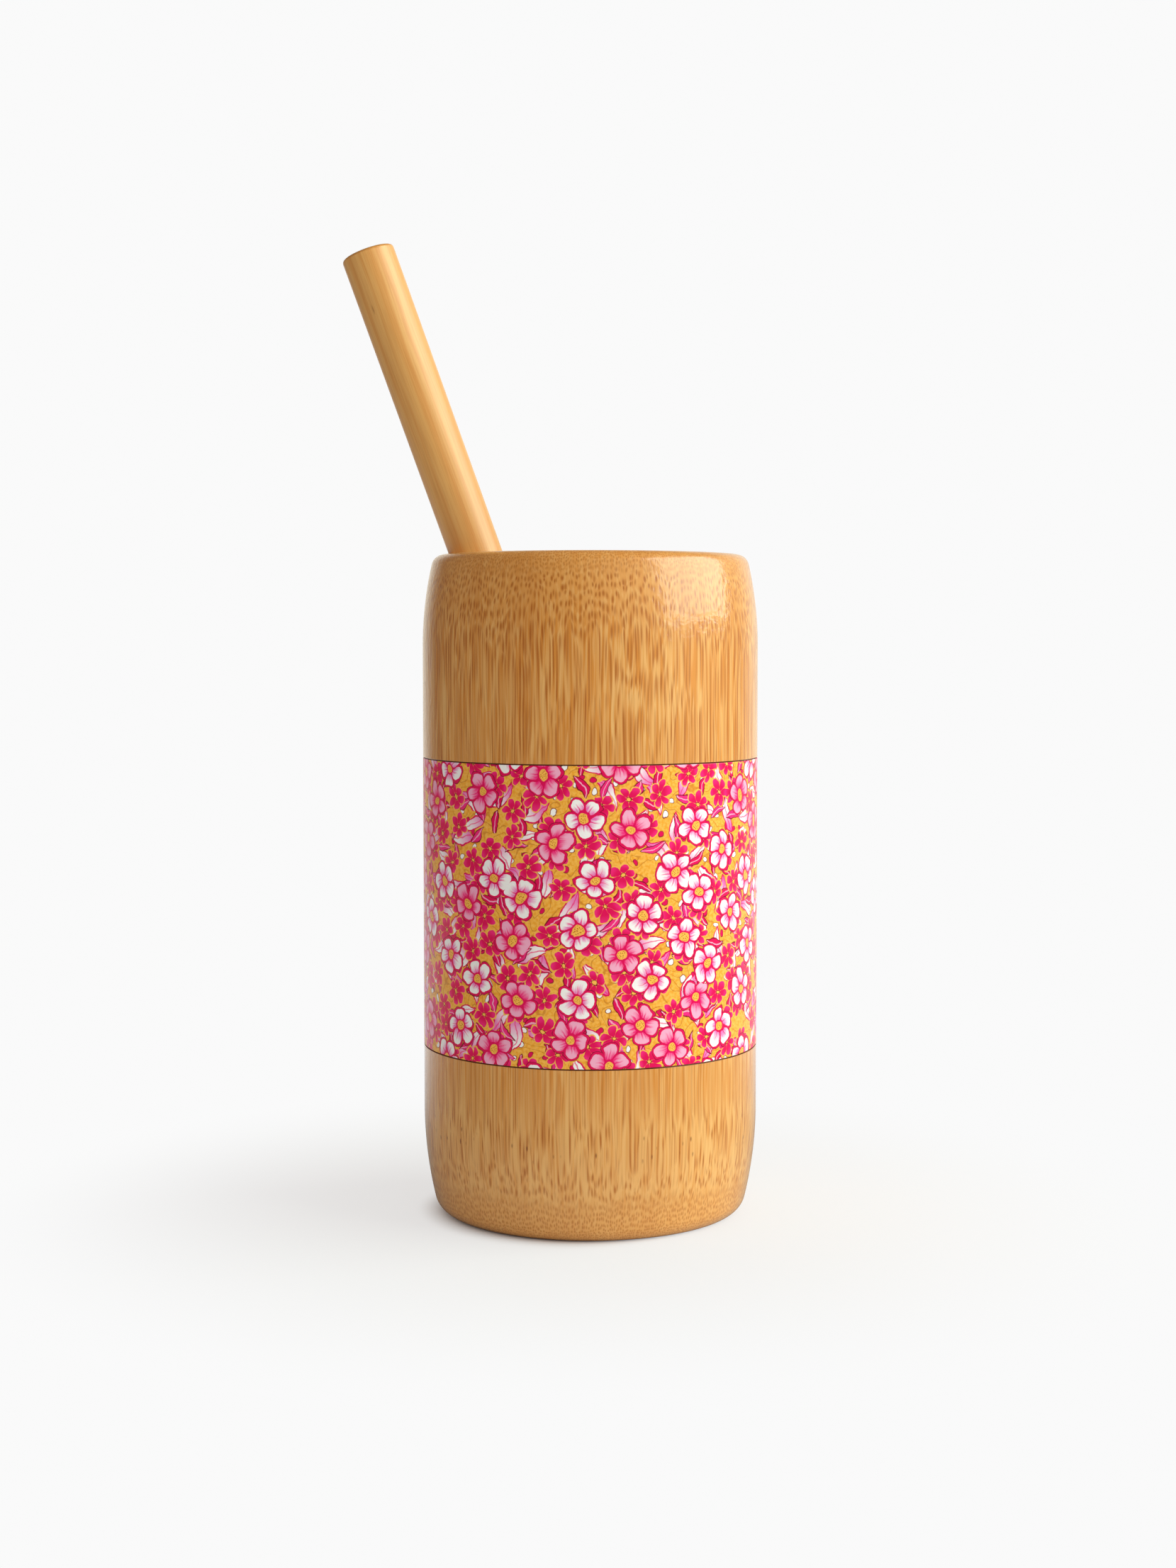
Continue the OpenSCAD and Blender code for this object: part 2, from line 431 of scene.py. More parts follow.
def make_lathe():
    tree = bpy.data.node_groups.new("Lathe", "GeometryNodeTree")
    for name, kind, value in LATHE_INPUTS:
        socket = tree.interface.new_socket(name, in_out="INPUT", socket_type=kind)
        if value is not None:
            socket.default_value = value
    tree.interface.new_socket("Turned", in_out="OUTPUT", socket_type="NodeSocketGeometry")
    g = Graph(tree)
    given = g.outputs("NodeGroupInput")

    points = g.node("GeometryNodeAttributeDomainSize", {0: given["Outline"]}, component="MESH")
    grid_size = {"Vertices X": given["Segments"] + 1, "Vertices Y": points}
    sheet = g.node("GeometryNodeMeshGrid", grid_size)
    index = g.node("GeometryNodeInputIndex")
    row = g.node("FunctionNodeIntegerMath", {0: index, 1: points}, operation="MODULO")
    column = g.node("FunctionNodeIntegerMath", {0: index, 1: points}, operation="DIVIDE_FLOOR")

    def of_row(value, kind):
        """What the outline has at the point of this row."""
        inputs = {"Geometry": given["Outline"], "Value": value, "Index": row}
        return g.node("GeometryNodeSampleIndex", inputs, data_type=kind)

    radius, _, height = g.split(of_row(g.node("GeometryNodeInputPosition"), "FLOAT_VECTOR"))
    named = g.node("GeometryNodeInputNamedAttribute", {"Name": "uneven"}, data_type="FLOAT")
    uneven = of_row(named, "FLOAT")
    turn = column / given["Segments"] * math.tau
    across, along = g.math("COSINE", turn), g.math("SINE", turn)
    flat_place = g.join(across * radius, along * radius)
    cloud_place = g.vector(
        "ADD", g.scaled(flat_place, 1.0 / given["Swell Width"]),
        g.join(z=height / given["Swell Length"]),
    )
    cloud = g.node("ShaderNodeTexNoise", {"Vector": cloud_place, "Scale": 1.0, "Detail": 2.0})
    swollen = radius + (cloud - 0.5) * 2.0 * (given["Swell"] * uneven)
    place = g.join(across * swollen, along * swollen, height)

    moved = g.node("GeometryNodeSetPosition", {"Geometry": sheet, "Position": place})
    closed = g.node("GeometryNodeMergeByDistance", {"Geometry": moved, "Distance": 0.001 * MM})
    smooth = g.node("GeometryNodeSetShadeSmooth", {"Geometry": closed, "Shade Smooth": True})
    whole = g.node("GeometryNodeRealizeInstances", {"Geometry": smooth})
    finished = g.node("GeometryNodeSetMaterial", {"Geometry": whole, "Material": given["Finish"]})
    g.add_node("NodeGroupOutput", {"Turned": finished})
    return tree


lathe = make_lathe()
print("the lathe tree has", len(lathe.nodes), "nodes")

# %% [markdown]
# The tree becomes a modifier on a small object that holds only the outline. Its result is copied
# into a plain mesh, because the finished piece should be ordinary geometry. The mesh is then
# checked: it has to be closed, with every face pointing outwards.

# %% Turn an outline into a finished piece
def volume_of(mesh):
    """The volume that a closed mesh holds, in cubic metres; negative if it is inside out."""
    mesh.calc_loop_triangles()
    corners = [vertex.co for vertex in mesh.vertices]
    return sum(
        corners[t.vertices[0]].dot(corners[t.vertices[1]].cross(corners[t.vertices[2]]))
        for t in mesh.loop_triangles
    ) / 6


def open_edges(mesh):
    """How many edges don't lie between exactly two faces."""
    uses = {}
    for polygon in mesh.polygons:
        for key in polygon.edge_keys:
            uses[key] = uses.get(key, 0) + 1
    return sum(count != 2 for count in uses.values())


def face_outwards(mesh):
    if volume_of(mesh) < 0:
        mesh.flip_normals()
    print(f"{mesh.name}: {len(mesh.polygons)} faces, {volume_of(mesh) / MM ** 3 / 1000:.1f} cm3,",
          f"{open_edges(mesh)} open edges")


def turned(name, outline, **inputs):
    """Spins an outline with the lathe tree and gives back a plain mesh object."""
    mesh = bpy.data.meshes.new(name + " outline")
    mesh.from_pydata([(r, 0, z) for r, z, _ in outline], [], [])
    mesh.attributes.new("uneven", "FLOAT", "POINT").data.foreach_set(
        "value", [share for _, _, share in outline]
    )
    blank = new_object(name + " outline", mesh)
    modifier = blank.modifiers.new("Lathe", "NODES")
    modifier.node_group = lathe
    for socket in lathe.interface.items_tree:
        if socket.in_out == "INPUT" and socket.name in inputs:
            modifier[socket.identifier] = inputs[socket.name]
    bpy.context.view_layer.update()
    evaluated = blank.evaluated_get(bpy.context.evaluated_depsgraph_get())
    whole = bpy.data.meshes.new_from_object(evaluated)
    blank.modifiers.remove(modifier)
    bpy.data.objects.remove(blank)
    whole.name = name
    face_outwards(whole)
    return new_object(name, whole)


# %% [markdown]
# ## Turned bamboo
# Bamboo is a bundle of darker fibre strands in paler ground tissue, and all the strands run up the
# culm. Where the lathe cut along them they show as long stripes. Where it cut across them, on the
# lip and the heel, the same strands show as dots. A picture wrapped round the cup would need both
# drawn by hand. Here the material is solid instead, and the surface cuts through it as the lathe
# did. Each strand is a cell in a flat plane, whose two axes are the distance round the cup and the
# distance out from its middle, so that the strands stand in rows along the wall. They lean out
# towards the lip and the heel. They also wander a little as they rise, which breaks the stripes
# into dashes, most of all at the node.

# %% Strands through the culm
lip_mm, node_ring_mm = cup_h / MM, 21.5
flare_slope, lip_flare_mm, foot_flare_mm = 0.45, 12.5, 8.0
broad_scale = (0.16, 0.16, 0.035)


def wandered_radius(g, place, z, out):
    """The radius at which a strand that now lies at a place would lie in a straight culm."""
    flare_up = g.math("EXPONENT", (lip_mm - z) / -lip_flare_mm)
    flare_down = g.math("EXPONENT", z / -foot_flare_mm)
    lean = flare_up * (flare_slope * lip_flare_mm) + flare_down * (flare_slope * foot_flare_mm)
    bulge = g.fade(abs(z - node_ring_mm), 7.0, 0.0, high=0.3)
    slow = g.noise(place, broad_scale, detail=1.0)
    fine = g.noise(place, (0.6, 0.6, 0.09), detail=0.0)
    fine_reach = g.fade(abs(z - (node_ring_mm - 2.0)), 12.0, 4.0, 0.8, 2.6)
    steady = g.fade(z, lip_mm - 45.0, lip_mm - 22.0, 0.45, 1.0)
    wander = ((slow - 0.5) * 4.0 + (fine - 0.5) * fine_reach) * steady
    return out - (lean + bulge) + wander


def straightened(g, place):
    """A place in the culm, in millimetres round it, out from its middle and up, moved to where
    its strand would stand in a straight culm. The two ends of the round meet at the back."""
    x, y, z = g.split(place)
    sway = g.split(g.shake(place, (0.25, 0.25, 0.05), amount=1.2))[0]
    round_mm = g.math("ARCTAN2", x, y * -1.0) * (cup_r / MM) + sway
    return g.join(round_mm, wandered_radius(g, place, z, g.length(x, y)), z)


def strands(g, straight, pitch_mm, thin, slim=1.0):
    """How much of a strand's dark core shows, how much of the sheath round it, and its own tone.
    The thinnest core reaches a share of the pitch, thin, and the thickest one half of it."""
    cell = g.cells(straight, 1 / pitch_mm, randomness=0.65)
    tone, size, _ = g.split(cell["Color"])
    reach = g.fade(size, 0.0, 1.0, thin, 0.5) * slim
    core = g.fade(cell["Distance"], reach, reach * 0.2)
    return core, g.fade(cell["Distance"], reach * 1.5, reach * 0.5), tone


def culm_place(g):
    """Where a point of the cup lies, in millimetres, and how much its fibres are cut across."""
    place = object_mm(g)
    x, y, z = g.split(place)
    return SimpleNamespace(
        place=place, z=z, out=g.length(x, y), straight=straightened(g, place),
        endwise=g.most(g.fade(z, lip_mm - 22, lip_mm - 6), g.fade(z, 15, 4)),
    )


print("the node's ring is", node_ring_mm, "mm up")

# %% [markdown]
# The wood between the strands comes first. Fine hairs of fibre and longer pale blades vary it, and
# broad bands of tone run up the culm. Near the lip and the heel the lathe cut across the fibres,
# so the hairs all but vanish there. Low on the side, up to a ragged line, the wood is paler.

# %% Ground tissue
PALE = srgb(244, 189, 114)
GROUND = srgb(226, 146, 54)
SHEATH = srgb(208, 126, 38)


def long_fibres(g, at, fineness):
    """Fibres too fine to count, straight up the culm wherever the surface lies."""
    spread = cup_r / MM / g.most(at.out, 1.0) * fineness
    fine_place = g.vector("MULTIPLY", at.place, g.join(spread, spread, 0.06))
    return g.noise(fine_place, detail=1.5)


def ground_tissue(g, at, hair):
    """The colour of the wood between the strands, and a height that is ragged like its fibres."""
    wood = g.mix(g.fade(hair, 0.36, 0.64, high=0.65), GROUND, PALE)
    blade = g.noise(at.straight, (1.5, 1.2, 0.03), detail=1.0)
    blade_share = g.fade(blade, 0.50, 0.64) * g.fade(at.endwise, 0.0, 1.0, 0.75, 0.4)
    wood = g.mix(blade_share, wood, PALE)
    cloud = g.noise(at.place, broad_scale)
    wood = g.mix(g.fade(cloud, 0.40, 0.70, high=0.35), wood, SHEATH)
    ragged = at.z + (blade - 0.5) * 14.0
    return g.mix(g.fade(ragged, 36, 25, high=0.35), wood, PALE), ragged


# %% [markdown]
# Each strand has a dark core in a lighter sheath. A thin second set fills the gaps, and a dense
# fine set takes over at the lip's crest and at the heel, where the lathe cut straight across. On
# the straight side the main strands are slimmer, and over the node they are paler.

# %% Strands on the ground
STRAND = srgb(184, 100, 20)
main_pitch_mm, thin_pitch_mm, dense_pitch_mm = 0.82, 0.62, 0.54


def with_strands(g, at, ragged, wood):
    """Lays the three sets of strands on the wood, and also tells how strongly they show."""
    core, _, tone = strands(g, at.straight, thin_pitch_mm, thin=0.34)
    strength = core * g.fade(tone, 0.0, 1.0, 0.15, 0.5)
    wood = g.mix(strength * g.fade(at.endwise, 0.0, 1.0, 1.0, 0.1), wood, STRAND)

    slim = g.fade(at.z, lip_mm - 34, lip_mm - 20, 0.80, 1.0)
    core, sheath, tone = strands(g, at.straight, main_pitch_mm, thin=0.34, slim=slim)
    over_node = g.fade(at.z, 60, 42) * g.fade(ragged, 24, 31)
    calm = g.fade(over_node, 0.0, 1.0, 1.0, 0.4)
    soft = g.least(g.fade(at.z, 8, 16, 0.6, 0.9), g.fade(at.z, lip_mm - 32, lip_mm - 18, 0.92))
    strength = core * g.fade(tone, 0.0, 1.0, 0.55, 1.0) * (calm * soft)

    dense_core, dense_sheath, tone = strands(g, at.straight, dense_pitch_mm, thin=0.38)
    at_table = g.fade(at.z, 0.8, 0.1, 1.0, 1.6)
    dense_strength = dense_core * g.fade(tone, 0.0, 1.0, 0.3, 0.6) * at_table
    cut_across = g.most(g.fade(at.z, 11, 6), g.fade(at.z, lip_mm - 6, lip_mm - 2.5))
    strength = g.blend(cut_across, strength, dense_strength)
    sheath = g.blend(cut_across, sheath * calm, dense_sheath)
    wood = g.mix(sheath * 0.35, wood, SHEATH)
    return g.mix(strength, wood, STRAND), strength


print("main strands every", main_pitch_mm, "mm")

# %% [markdown]
# The node leaves its mark outside, as pale flames and a ring of short dark pits. The thin dark line
# at the band's two edges is painted into the groove there: partly dirt, partly painted shade.

# %% Marks of the node and of the band's edges
PIT = srgb(132, 66, 12)
# Colour of the groove at the band's edges: partly dirt, partly painted shade of that groove
GROOVE_DIRT_AND_SHADE = srgb(146, 80, 36)


def with_node_marks(g, at, wood):
    flame = g.noise(at.straight, (0.85, 0.8, 0.045), detail=1.0)
    by_node = g.fade(at.z, 30, 24) * g.fade(at.z, 7, 12)
    wood = g.mix(g.fade(flame, 0.50, 0.60, high=0.55) * by_node, wood, PALE)
    pits = g.specks(at.place, (0.68, 0.68, 0.26), reach=0.22, full=0.07, rare=0.5)
    at_ring = g.fade(abs(at.z - node_ring_mm), 4.5, 2.0, high=0.75)
    return g.mix(pits * at_ring, wood, PIT)


# Darkens the groove at the band's two edges: partly dirt, partly painted shade of the groove
def with_groove_dirt_and_shade(g, at, wood):
    to_edge = g.least(
        abs(at.z - (band_low - edge_gap / 2) / MM), abs(at.z - (band_high + edge_gap / 2) / MM)
    )
    outside = g.fade(at.out, seat_r / MM - 1.5, seat_r / MM - 0.5)
    return g.mix(g.fade(to_edge, 0.24, 0.13, high=0.85) * outside, wood, GROOVE_DIRT_AND_SHADE)


# %% [markdown]
# The inside was never turned, so it shows paler wood with softer fibres. On the floor and under
# it lies the node itself, whose fibres run crosswise in a tangle.

# %% Wood of the inside and of the node
INNER = srgb(228, 182, 116)
INNER_FIBRE = srgb(206, 154, 84)
NODE_WOOD = srgb(216, 168, 104)
NODE_FIBRE = srgb(190, 134, 68)


def with_inner_wood(g, at, inner_fibre, strength, wood):
    """Puts the inner wood in its place, and also tells where that place is."""
    within = g.fade(at.out, (bore_r + 0.75 * lip_in_r) / MM, (bore_r + 0.1 * lip_in_r) / MM)
    inside = within * g.fade(at.z, hollow_z / MM, (hollow_z + node_t / 2) / MM)
    inner_wood = g.mix(g.fade(inner_fibre, 0.42, 0.62), INNER, INNER_FIBRE)
    inner_wood = g.mix(strength * 0.25, inner_wood, SHEATH)
    return g.mix(inside, wood, inner_wood), inside


def with_node_wood(g, at, wood):
    within = g.fade(at.out, (bore_r - 0.2 * floor_r) / MM, (bore_r - floor_r) / MM)
    under_top = g.fade(at.z, (floor_z + floor_r) / MM, floor_z / MM)
    over_hollow = g.fade(at.z, hollow_z / MM - 1.2, hollow_z / MM - 0.2)
    warp = g.vector("ADD", at.place, g.shake(at.place, 0.10, amount=9.0))
    tangle = g.noise(warp, (0.28, 2.2, 0.3), detail=3.0)
    node_wood = g.mix(g.fade(tangle, 0.36, 0.70), NODE_WOOD, NODE_FIBRE)
    return g.mix(within * under_top * over_hollow, wood, node_wood)


# %% [markdown]
# A clear coat lies over everything, with a faint ripple and a few specks of dust in it, and the
# wood under it stays slightly rough. The strands lie a little lower than the wood round them, and
# are smoother.

# %% Lacquered wood of the cup
def turned_bamboo(g):
    at = culm_place(g)
    hair = g.blend(at.endwise * 0.85, long_fibres(g, at, 2.4), 0.5)
    inner_fibre = long_fibres(g, at, 1.3)
    wood, ragged = ground_tissue(g, at, hair)
    wood, strength = with_strands(g, at, ragged, wood)
    wood = with_node_marks(g, at, wood)
    wood, inside = with_inner_wood(g, at, inner_fibre, strength, wood)
    wood = with_node_wood(g, at, wood)
    wood = with_groove_dirt_and_shade(g, at, wood)

    height = g.blend(inside, hair, inner_fibre) * 0.5 - strength * 0.6
    ripple = g.noise(at.place, 0.65) * 3.0
    dust = g.specks(at.place, 0.17, reach=0.06, full=0.02, rare=0.75) * 4.0
    g.surface(
        Base_Color=wood, Roughness=g.fade(strength, 0.0, 1.0, 0.48, 0.38),
        Normal=g.bump(height, strength=0.3, depth=0.05 * MM), Specular_IOR_Level=0.45,
        Coat_Weight=1.0, Coat_Roughness=0.15, Coat_IOR=1.5,
        Coat_Normal=g.bump(height + (ripple + dust), strength=0.6, depth=0.05 * MM),
    )


cup_finish = new_material("Turned bamboo", turned_bamboo)

# %% The cup itself
cup = turned("bamboo_cup", culm_outline(), Finish=cup_finish, Segments=256, Swell=0.12 * MM)
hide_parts("cup_body")
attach(cup, "cup")

# %% [markdown]
# ## The straw
# The straw is a thin culm that kept its own skin, so it shows no cut strands: only fine streaks
# along its length, under a smooth and glossy surface. Its ends were cut and rounded: the rounded
# edge is a deeper amber, and the flat ring shows pale end grain with dark dots. It leans, so its
# streaks can't follow the object's own axes. The lathe makes it upright, its mesh remembers where
# each point was, and only then is it stood in the cup.

# %% Straw finish, streaked along the straw's own length
STRAW_PALE = srgb(240, 180, 99)
STRAW_GROUND = srgb(233, 162, 77)
STRAW_DARK = srgb(210, 130, 42)
STRAW_FLECK = srgb(172, 98, 30)
STRAW_EDGE = srgb(216, 142, 58)
STRAW_END = srgb(232, 184, 116)


def straw_rind(g):
    remembered = g.node("ShaderNodeAttribute", out="Vector", attribute_name="upright")
    place = g.scaled(remembered, 1 / MM)
    x, y, z = g.split(place)
    sway = g.shake(place, (0.2, 0.2, 0.035), amount=0.7)
    side_x, side_y, _ = g.split(g.vector("ADD", place, sway))
    swayed = g.join(side_x, side_y, z)
    broad = g.noise(swayed, (0.8, 0.8, 0.014))
    fine = g.noise(swayed, (4.2, 4.2, 0.03))
    short = g.noise(swayed, (5.0, 5.0, 0.12))
    rind = g.mix(g.fade(broad, 0.35, 0.65), STRAW_GROUND, STRAW_PALE)
    rind = g.mix(g.fade(fine, 0.46, 0.66, high=0.30), rind, STRAW_DARK)
    rind = g.mix(g.fade(short, 0.52, 0.66, high=0.25), rind, STRAW_DARK)
    rind = g.mix(g.fade(short, 0.46, 0.32, high=0.25), rind, STRAW_PALE)
    fleck = g.specks(place, (0.35, 0.35, 0.07), reach=0.12, full=0.03, rare=0.7)
    rind = g.mix(fleck * 0.6, rind, STRAW_FLECK)

    ease_mm, bore_mm = straw_ease / MM, straw_bore_r / MM
    to_end = g.least(z, straw_len / MM - z)
    edge = g.fade(to_end, 0.9 * ease_mm, 0.45 * ease_mm)
    rind = g.mix(edge, rind, STRAW_EDGE)
    grain = g.cells(g.join(x, y), 1 / 0.42, randomness=0.8)
    dots = g.fade(grain["Distance"], 0.42, 0.16, high=0.75)
    end_wood = g.mix(dots, STRAW_END, STRAW_FLECK)
    rind = g.mix(g.fade(to_end, 0.35 * ease_mm, 0.1 * ease_mm), rind, end_wood)
    bore = g.fade(g.length(x, y), bore_mm + 0.3, bore_mm + 0.05)
    rind = g.mix(bore * g.fade(to_end, 0.0, 2 * bore_ease / MM), rind, STRAW_EDGE)
    g.surface(
        Base_Color=rind, Roughness=g.fade(edge, 0.0, 1.0, 0.46, 0.55),
        Normal=g.bump(fine, strength=0.15, depth=0.04 * MM), Specular_IOR_Level=0.5,
        Coat_Weight=0.9, Coat_Roughness=0.44, Coat_IOR=1.5,
    )


straw_finish = new_material("Straw rind", straw_rind)

# %% Turn the straw upright, then stand it in the cup
straw = turned(
    "bamboo_straw", straw_outline(), Finish=straw_finish, Segments=180, Swell=0.05 * MM
)
upright = straw.data.attributes.new("upright", "FLOAT_VECTOR", "POINT")
upright.data.foreach_set("vector", [value for vertex in straw.data.vertices for value in vertex.co])
leaned = Matrix.Rotation(straw_lean, 4, "Y")
faced = Matrix.Rotation(math.atan2(straw_way.y, straw_way.x), 4, "Z")
straw.data.transform(Matrix.Translation(straw_foot) @ faced @ leaned)
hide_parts("straw")
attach(straw, "straw")
print("straw top at", in_mm(straw_foot + straw_way * straw_len))

# %% [markdown]
# ## The adhesive
# The thin layer that holds the band is hidden, but it is a piece of the object, so it keeps its
# CAD shape and gets the look of dried clear glue, in case the band is ever taken off.

# %% Dried glue
GLUE, GLUE_DARK = srgb(226, 206, 158), srgb(206, 178, 122)


def dried_glue(g):
    blotch = g.noise(object_mm(g), 0.5, detail=3.0)
    g.surface(
        Base_Color=g.mix(blotch, GLUE, GLUE_DARK),
        Roughness=g.fade(blotch, 0.2, 0.8, 0.35, 0.55), Coat_Weight=0.2,
    )


glue = frame["nodes"]["wrap_adhesive"]
glue.data.materials.clear()
glue.data.materials.append(new_material("Dried glue", dried_glue))
print("glue layer keeps its CAD mesh of", len(glue.data.polygons), "faces")

# %% [markdown]
# ## The printed film
# The band is a thin printed film, let in flush, whose two ends meet at the back. It is a sleeve of
# one small rectangle swept nearly once round. The print has to follow the film and not the room,
# so the sleeve gets its own UV map: across is the distance round the cup in millimetres, up is the
# height. Motifs can then be drawn in millimetres too.

# %% Sleeve with a UV map in millimetres
def film_mesh(columns=256, ease=0.05 * MM):
    inner_r = film_r - film_t
    section = [
        (inner_r, band_low), (film_r - ease, band_low), (film_r, band_low + ease),
        (film_r, band_low + 4 * ease), (film_r, band_high - 4 * ease),
        (film_r, band_high - ease), (film_r - ease, band_high), (inner_r, band_high),
    ]
    half_gap = math.asin(seam_gap / 2 / film_r)
    start, sweep = math.pi / 2 + half_gap, math.tau - 2 * half_gap
    turns = [start + sweep * column / columns for column in range(columns + 1)]
    places = [(r * math.cos(t), r * math.sin(t), z) for t in turns for r, z in section]
    size = len(section)
    faces = []
    for column in range(columns):
        left, right = column * size, (column + 1) * size
        for here in range(size):
            after = (here + 1) % size
            faces.append((left + here, right + here, right + after, left + after))
    faces.append(tuple(range(size)))
    faces.append(tuple(columns * size + here for here in reversed(range(size))))
    mesh = bpy.data.meshes.new("printed_band")
    mesh.from_pydata(places, [], faces)
    mesh.shade_smooth()
    layer = mesh.uv_layers.new(name="print")
    for loop in mesh.loops:
        column, here = divmod(loop.vertex_index, size)
        round_mm = film_r * sweep * column / columns / MM
        layer.data[loop.index].uv = (round_mm, section[here][1] / MM)
    return mesh


film_shape = film_mesh()
face_outwards(film_shape)

# %% [markdown]
# The print is a generic flower pattern in magenta, pink, white and golden ochre. A whole picture
# isn't needed: a few kinds of motif are scattered, one kind over another, as a printer lays down
# inks. Each kind is scattered by a Voronoi texture, which gives the centre of the nearest cell. In
# the coordinates of that cell, a flower is an ellipse folded round the centre, and a leaf is two
# curves that meet in points.

# %% Scatter motifs on the film
def scattered(g, film_place, pitch, turn, jitter, kept):
    """Places in the nearest motif's own axes, in millimetres, two random numbers, and whether
    that motif is printed at all: nothing where it is kept, and a large number where it isn't."""
    def spun(vector, angle):
        inputs = {"Vector": vector, "Angle": angle}
        return g.node("ShaderNodeVectorRotate", inputs, rotation_type="Z_AXIS")
    shift = (7.3 * turn, 3.1 * turn, 0)
    shifted = g.vector("ADD", spun(film_place, math.radians(turn)), shift)
    cell = g.cells(shifted, 1 / pitch, jitter)
    centre = g.scaled(cell["Position"], pitch)
    one, two, three = g.split(cell["Color"])
    x, y, _ = g.split(spun(g.vector("SUBTRACT", shifted, centre), one * math.tau))
    return x, y, one, two, (three > kept) * 100.0


def petals(g, x, y, count, reach, half_width):
    """How far inside a petal a place is, and its own place along and across that petal."""
    out = g.length(x, y)
    half_sector = math.pi / count
    folded = g.math("WRAP", g.math("ARCTAN2", y, x), half_sector, -half_sector)
    share = out * g.math("COSINE", folded) / reach
    width = (share * 0.62 + 0.62) * half_width
    across = out * g.math("SINE", folded) / width
    from_middle = g.length((share - 0.58) * (1 / 0.42), across)
    return (1.0 - from_middle) * half_width, share, across


def leaf(x, y, half_length, half_width, bend):
    """The same for a leaf whose middle lies on the cell's centre."""
    curved = y + x * x * bend
    share = x / half_length
    inside = (1.0 - share * share) * half_width - abs(curved)
    return inside, share * 0.5 + 0.5, curved / half_width


print("a flower of 5 petals folds every", 360 / 5, "degrees")

# %% [markdown]
# The print is built up from its ground: ochre with darker contour lines, then dots and two kinds
# of leaf, and the flowers last, so that they lie on top.

# %% Inks of the print
OCHRE = srgb(246, 166, 48)
OCHRE_PALE = srgb(254, 192, 84)
OCHRE_DARK = srgb(204, 112, 26)
MAGENTA = srgb(232, 0, 88)
HOT_PINK = srgb(248, 40, 128)
LILAC = srgb(242, 116, 190)
PALE_PINK = srgb(252, 176, 206)
WHITE = srgb(254, 250, 248)
PLUM = srgb(134, 4, 36)
ink_edge_mm = 0.05


def printed(g, under, inside, ink, outline, outline_mm, halo=None, halo_mm=0.0):
    """Prints one motif over what is under it: a halo, then an outline, then the ink."""
    def covered(edge_mm):
        return g.fade(inside, edge_mm - ink_edge_mm, edge_mm + ink_edge_mm)
    if halo is not None:
        under = g.mix(covered(-halo_mm), under, halo)
    under = g.mix(covered(0.0), under, outline)
    return g.mix(covered(outline_mm), under, ink)


# %% Ground and leaves of the print
def print_ground(g, uv, place):
    grain = g.noise(uv, 1.6, detail=3.0)
    ochre = g.mix(g.fade(grain, 0.35, 0.65), OCHRE, OCHRE_PALE)
    contour = g.math("PINGPONG", g.noise(place, 0.13, detail=1.0) * 9.0, 0.5)
    return g.mix(g.fade(contour, 0.10, 0.03, high=0.6), ochre, OCHRE_DARK)


def print_leaves(g, place, under):
    x, y, _, pick, gone = scattered(g, place, pitch=3.3, turn=17.0, jitter=0.6, kept=0.75)
    dot = 0.62 - g.length(x, y * 0.8) - gone
    under = printed(g, under, dot, g.mix(pick > 0.6, MAGENTA, WHITE), PLUM, outline_mm=0.12)

    x, y, _, _, gone = scattered(g, place, pitch=7.0, turn=52.0, jitter=0.5, kept=0.9)
    inside, share, side = leaf(x, y, half_length=4.4, half_width=1.5, bend=0.05)
    blush = g.mix(g.fade(share, 0.75, 0.15), WHITE, LILAC)
    blush = g.mix(g.fade(abs(side), 0.14, 0.04, high=0.8), blush, HOT_PINK)
    under = printed(g, under, inside - gone, blush, MAGENTA, outline_mm=0.32)

    x, y, _, pick, gone = scattered(g, place, pitch=5.6, turn=11.0, jitter=0.5, kept=0.8)
    inside, _, side = leaf(x, y, half_length=2.9, half_width=1.0, bend=-0.09)
    deep = g.mix(pick > 0.55, MAGENTA, HOT_PINK)
    deep = g.mix(g.fade(abs(side), 0.16, 0.05), deep, PALE_PINK)
    return printed(g, under, inside - gone, deep, PLUM, outline_mm=0.2)


# %% Flowers of the print
def print_small_flowers(g, place, under):
    x, y, _, _, gone = scattered(g, place, pitch=6.6, turn=71.0, jitter=0.4, kept=0.9)
    inside, share, _ = petals(g, x, y, count=6, reach=2.7, half_width=0.78)
    petal = g.mix(g.fade(share, 0.45, 1.0), MAGENTA, HOT_PINK)
    halo = {"halo": OCHRE_PALE, "halo_mm": 0.18}
    under = printed(g, under, inside - gone, petal, MAGENTA, outline_mm=0.02, **halo)
    heart = 0.5 - g.length(x, y) - gone
    return printed(g, under, heart, OCHRE_PALE, PLUM, outline_mm=0.14)


def print_large_flowers(g, place, under):
    x, y, turn, pick, gone = scattered(g, place, pitch=11.0, turn=33.0, jitter=0.35, kept=0.85)
    inside, share, side = petals(g, x, y, count=5, reach=4.5, half_width=1.85)
    rosy = pick > 0.55
    streak = g.noise(g.join(side * 5.0, share, turn), detail=1.0)
    base = g.fade(share - streak * 0.5, 0.46, 0.02)
    tip_color, base_color = g.mix(rosy, WHITE, PALE_PINK), g.mix(rosy, LILAC, HOT_PINK)
    fold = g.fade(abs(side), 0.10, 0.03) * g.fade(share, 0.75, 0.35)
    petal = g.mix(fold, g.mix(base, tip_color, base_color), HOT_PINK)
    halo = {"halo": PLUM, "halo_mm": 0.10}
    under = printed(g, under, inside - gone, petal, MAGENTA, outline_mm=0.40, **halo)
    centre = g.length(x, y) + gone
    under = printed(g, under, 1.45 - centre, OCHRE_PALE, MAGENTA, outline_mm=0.42)
    seeds = g.cells(g.join(x, y), 2.4)
    seed = 0.26 - seeds["Distance"] - (centre > 0.85)
    return printed(g, under, seed, OCHRE_DARK, OCHRE_DARK, outline_mm=0.0)


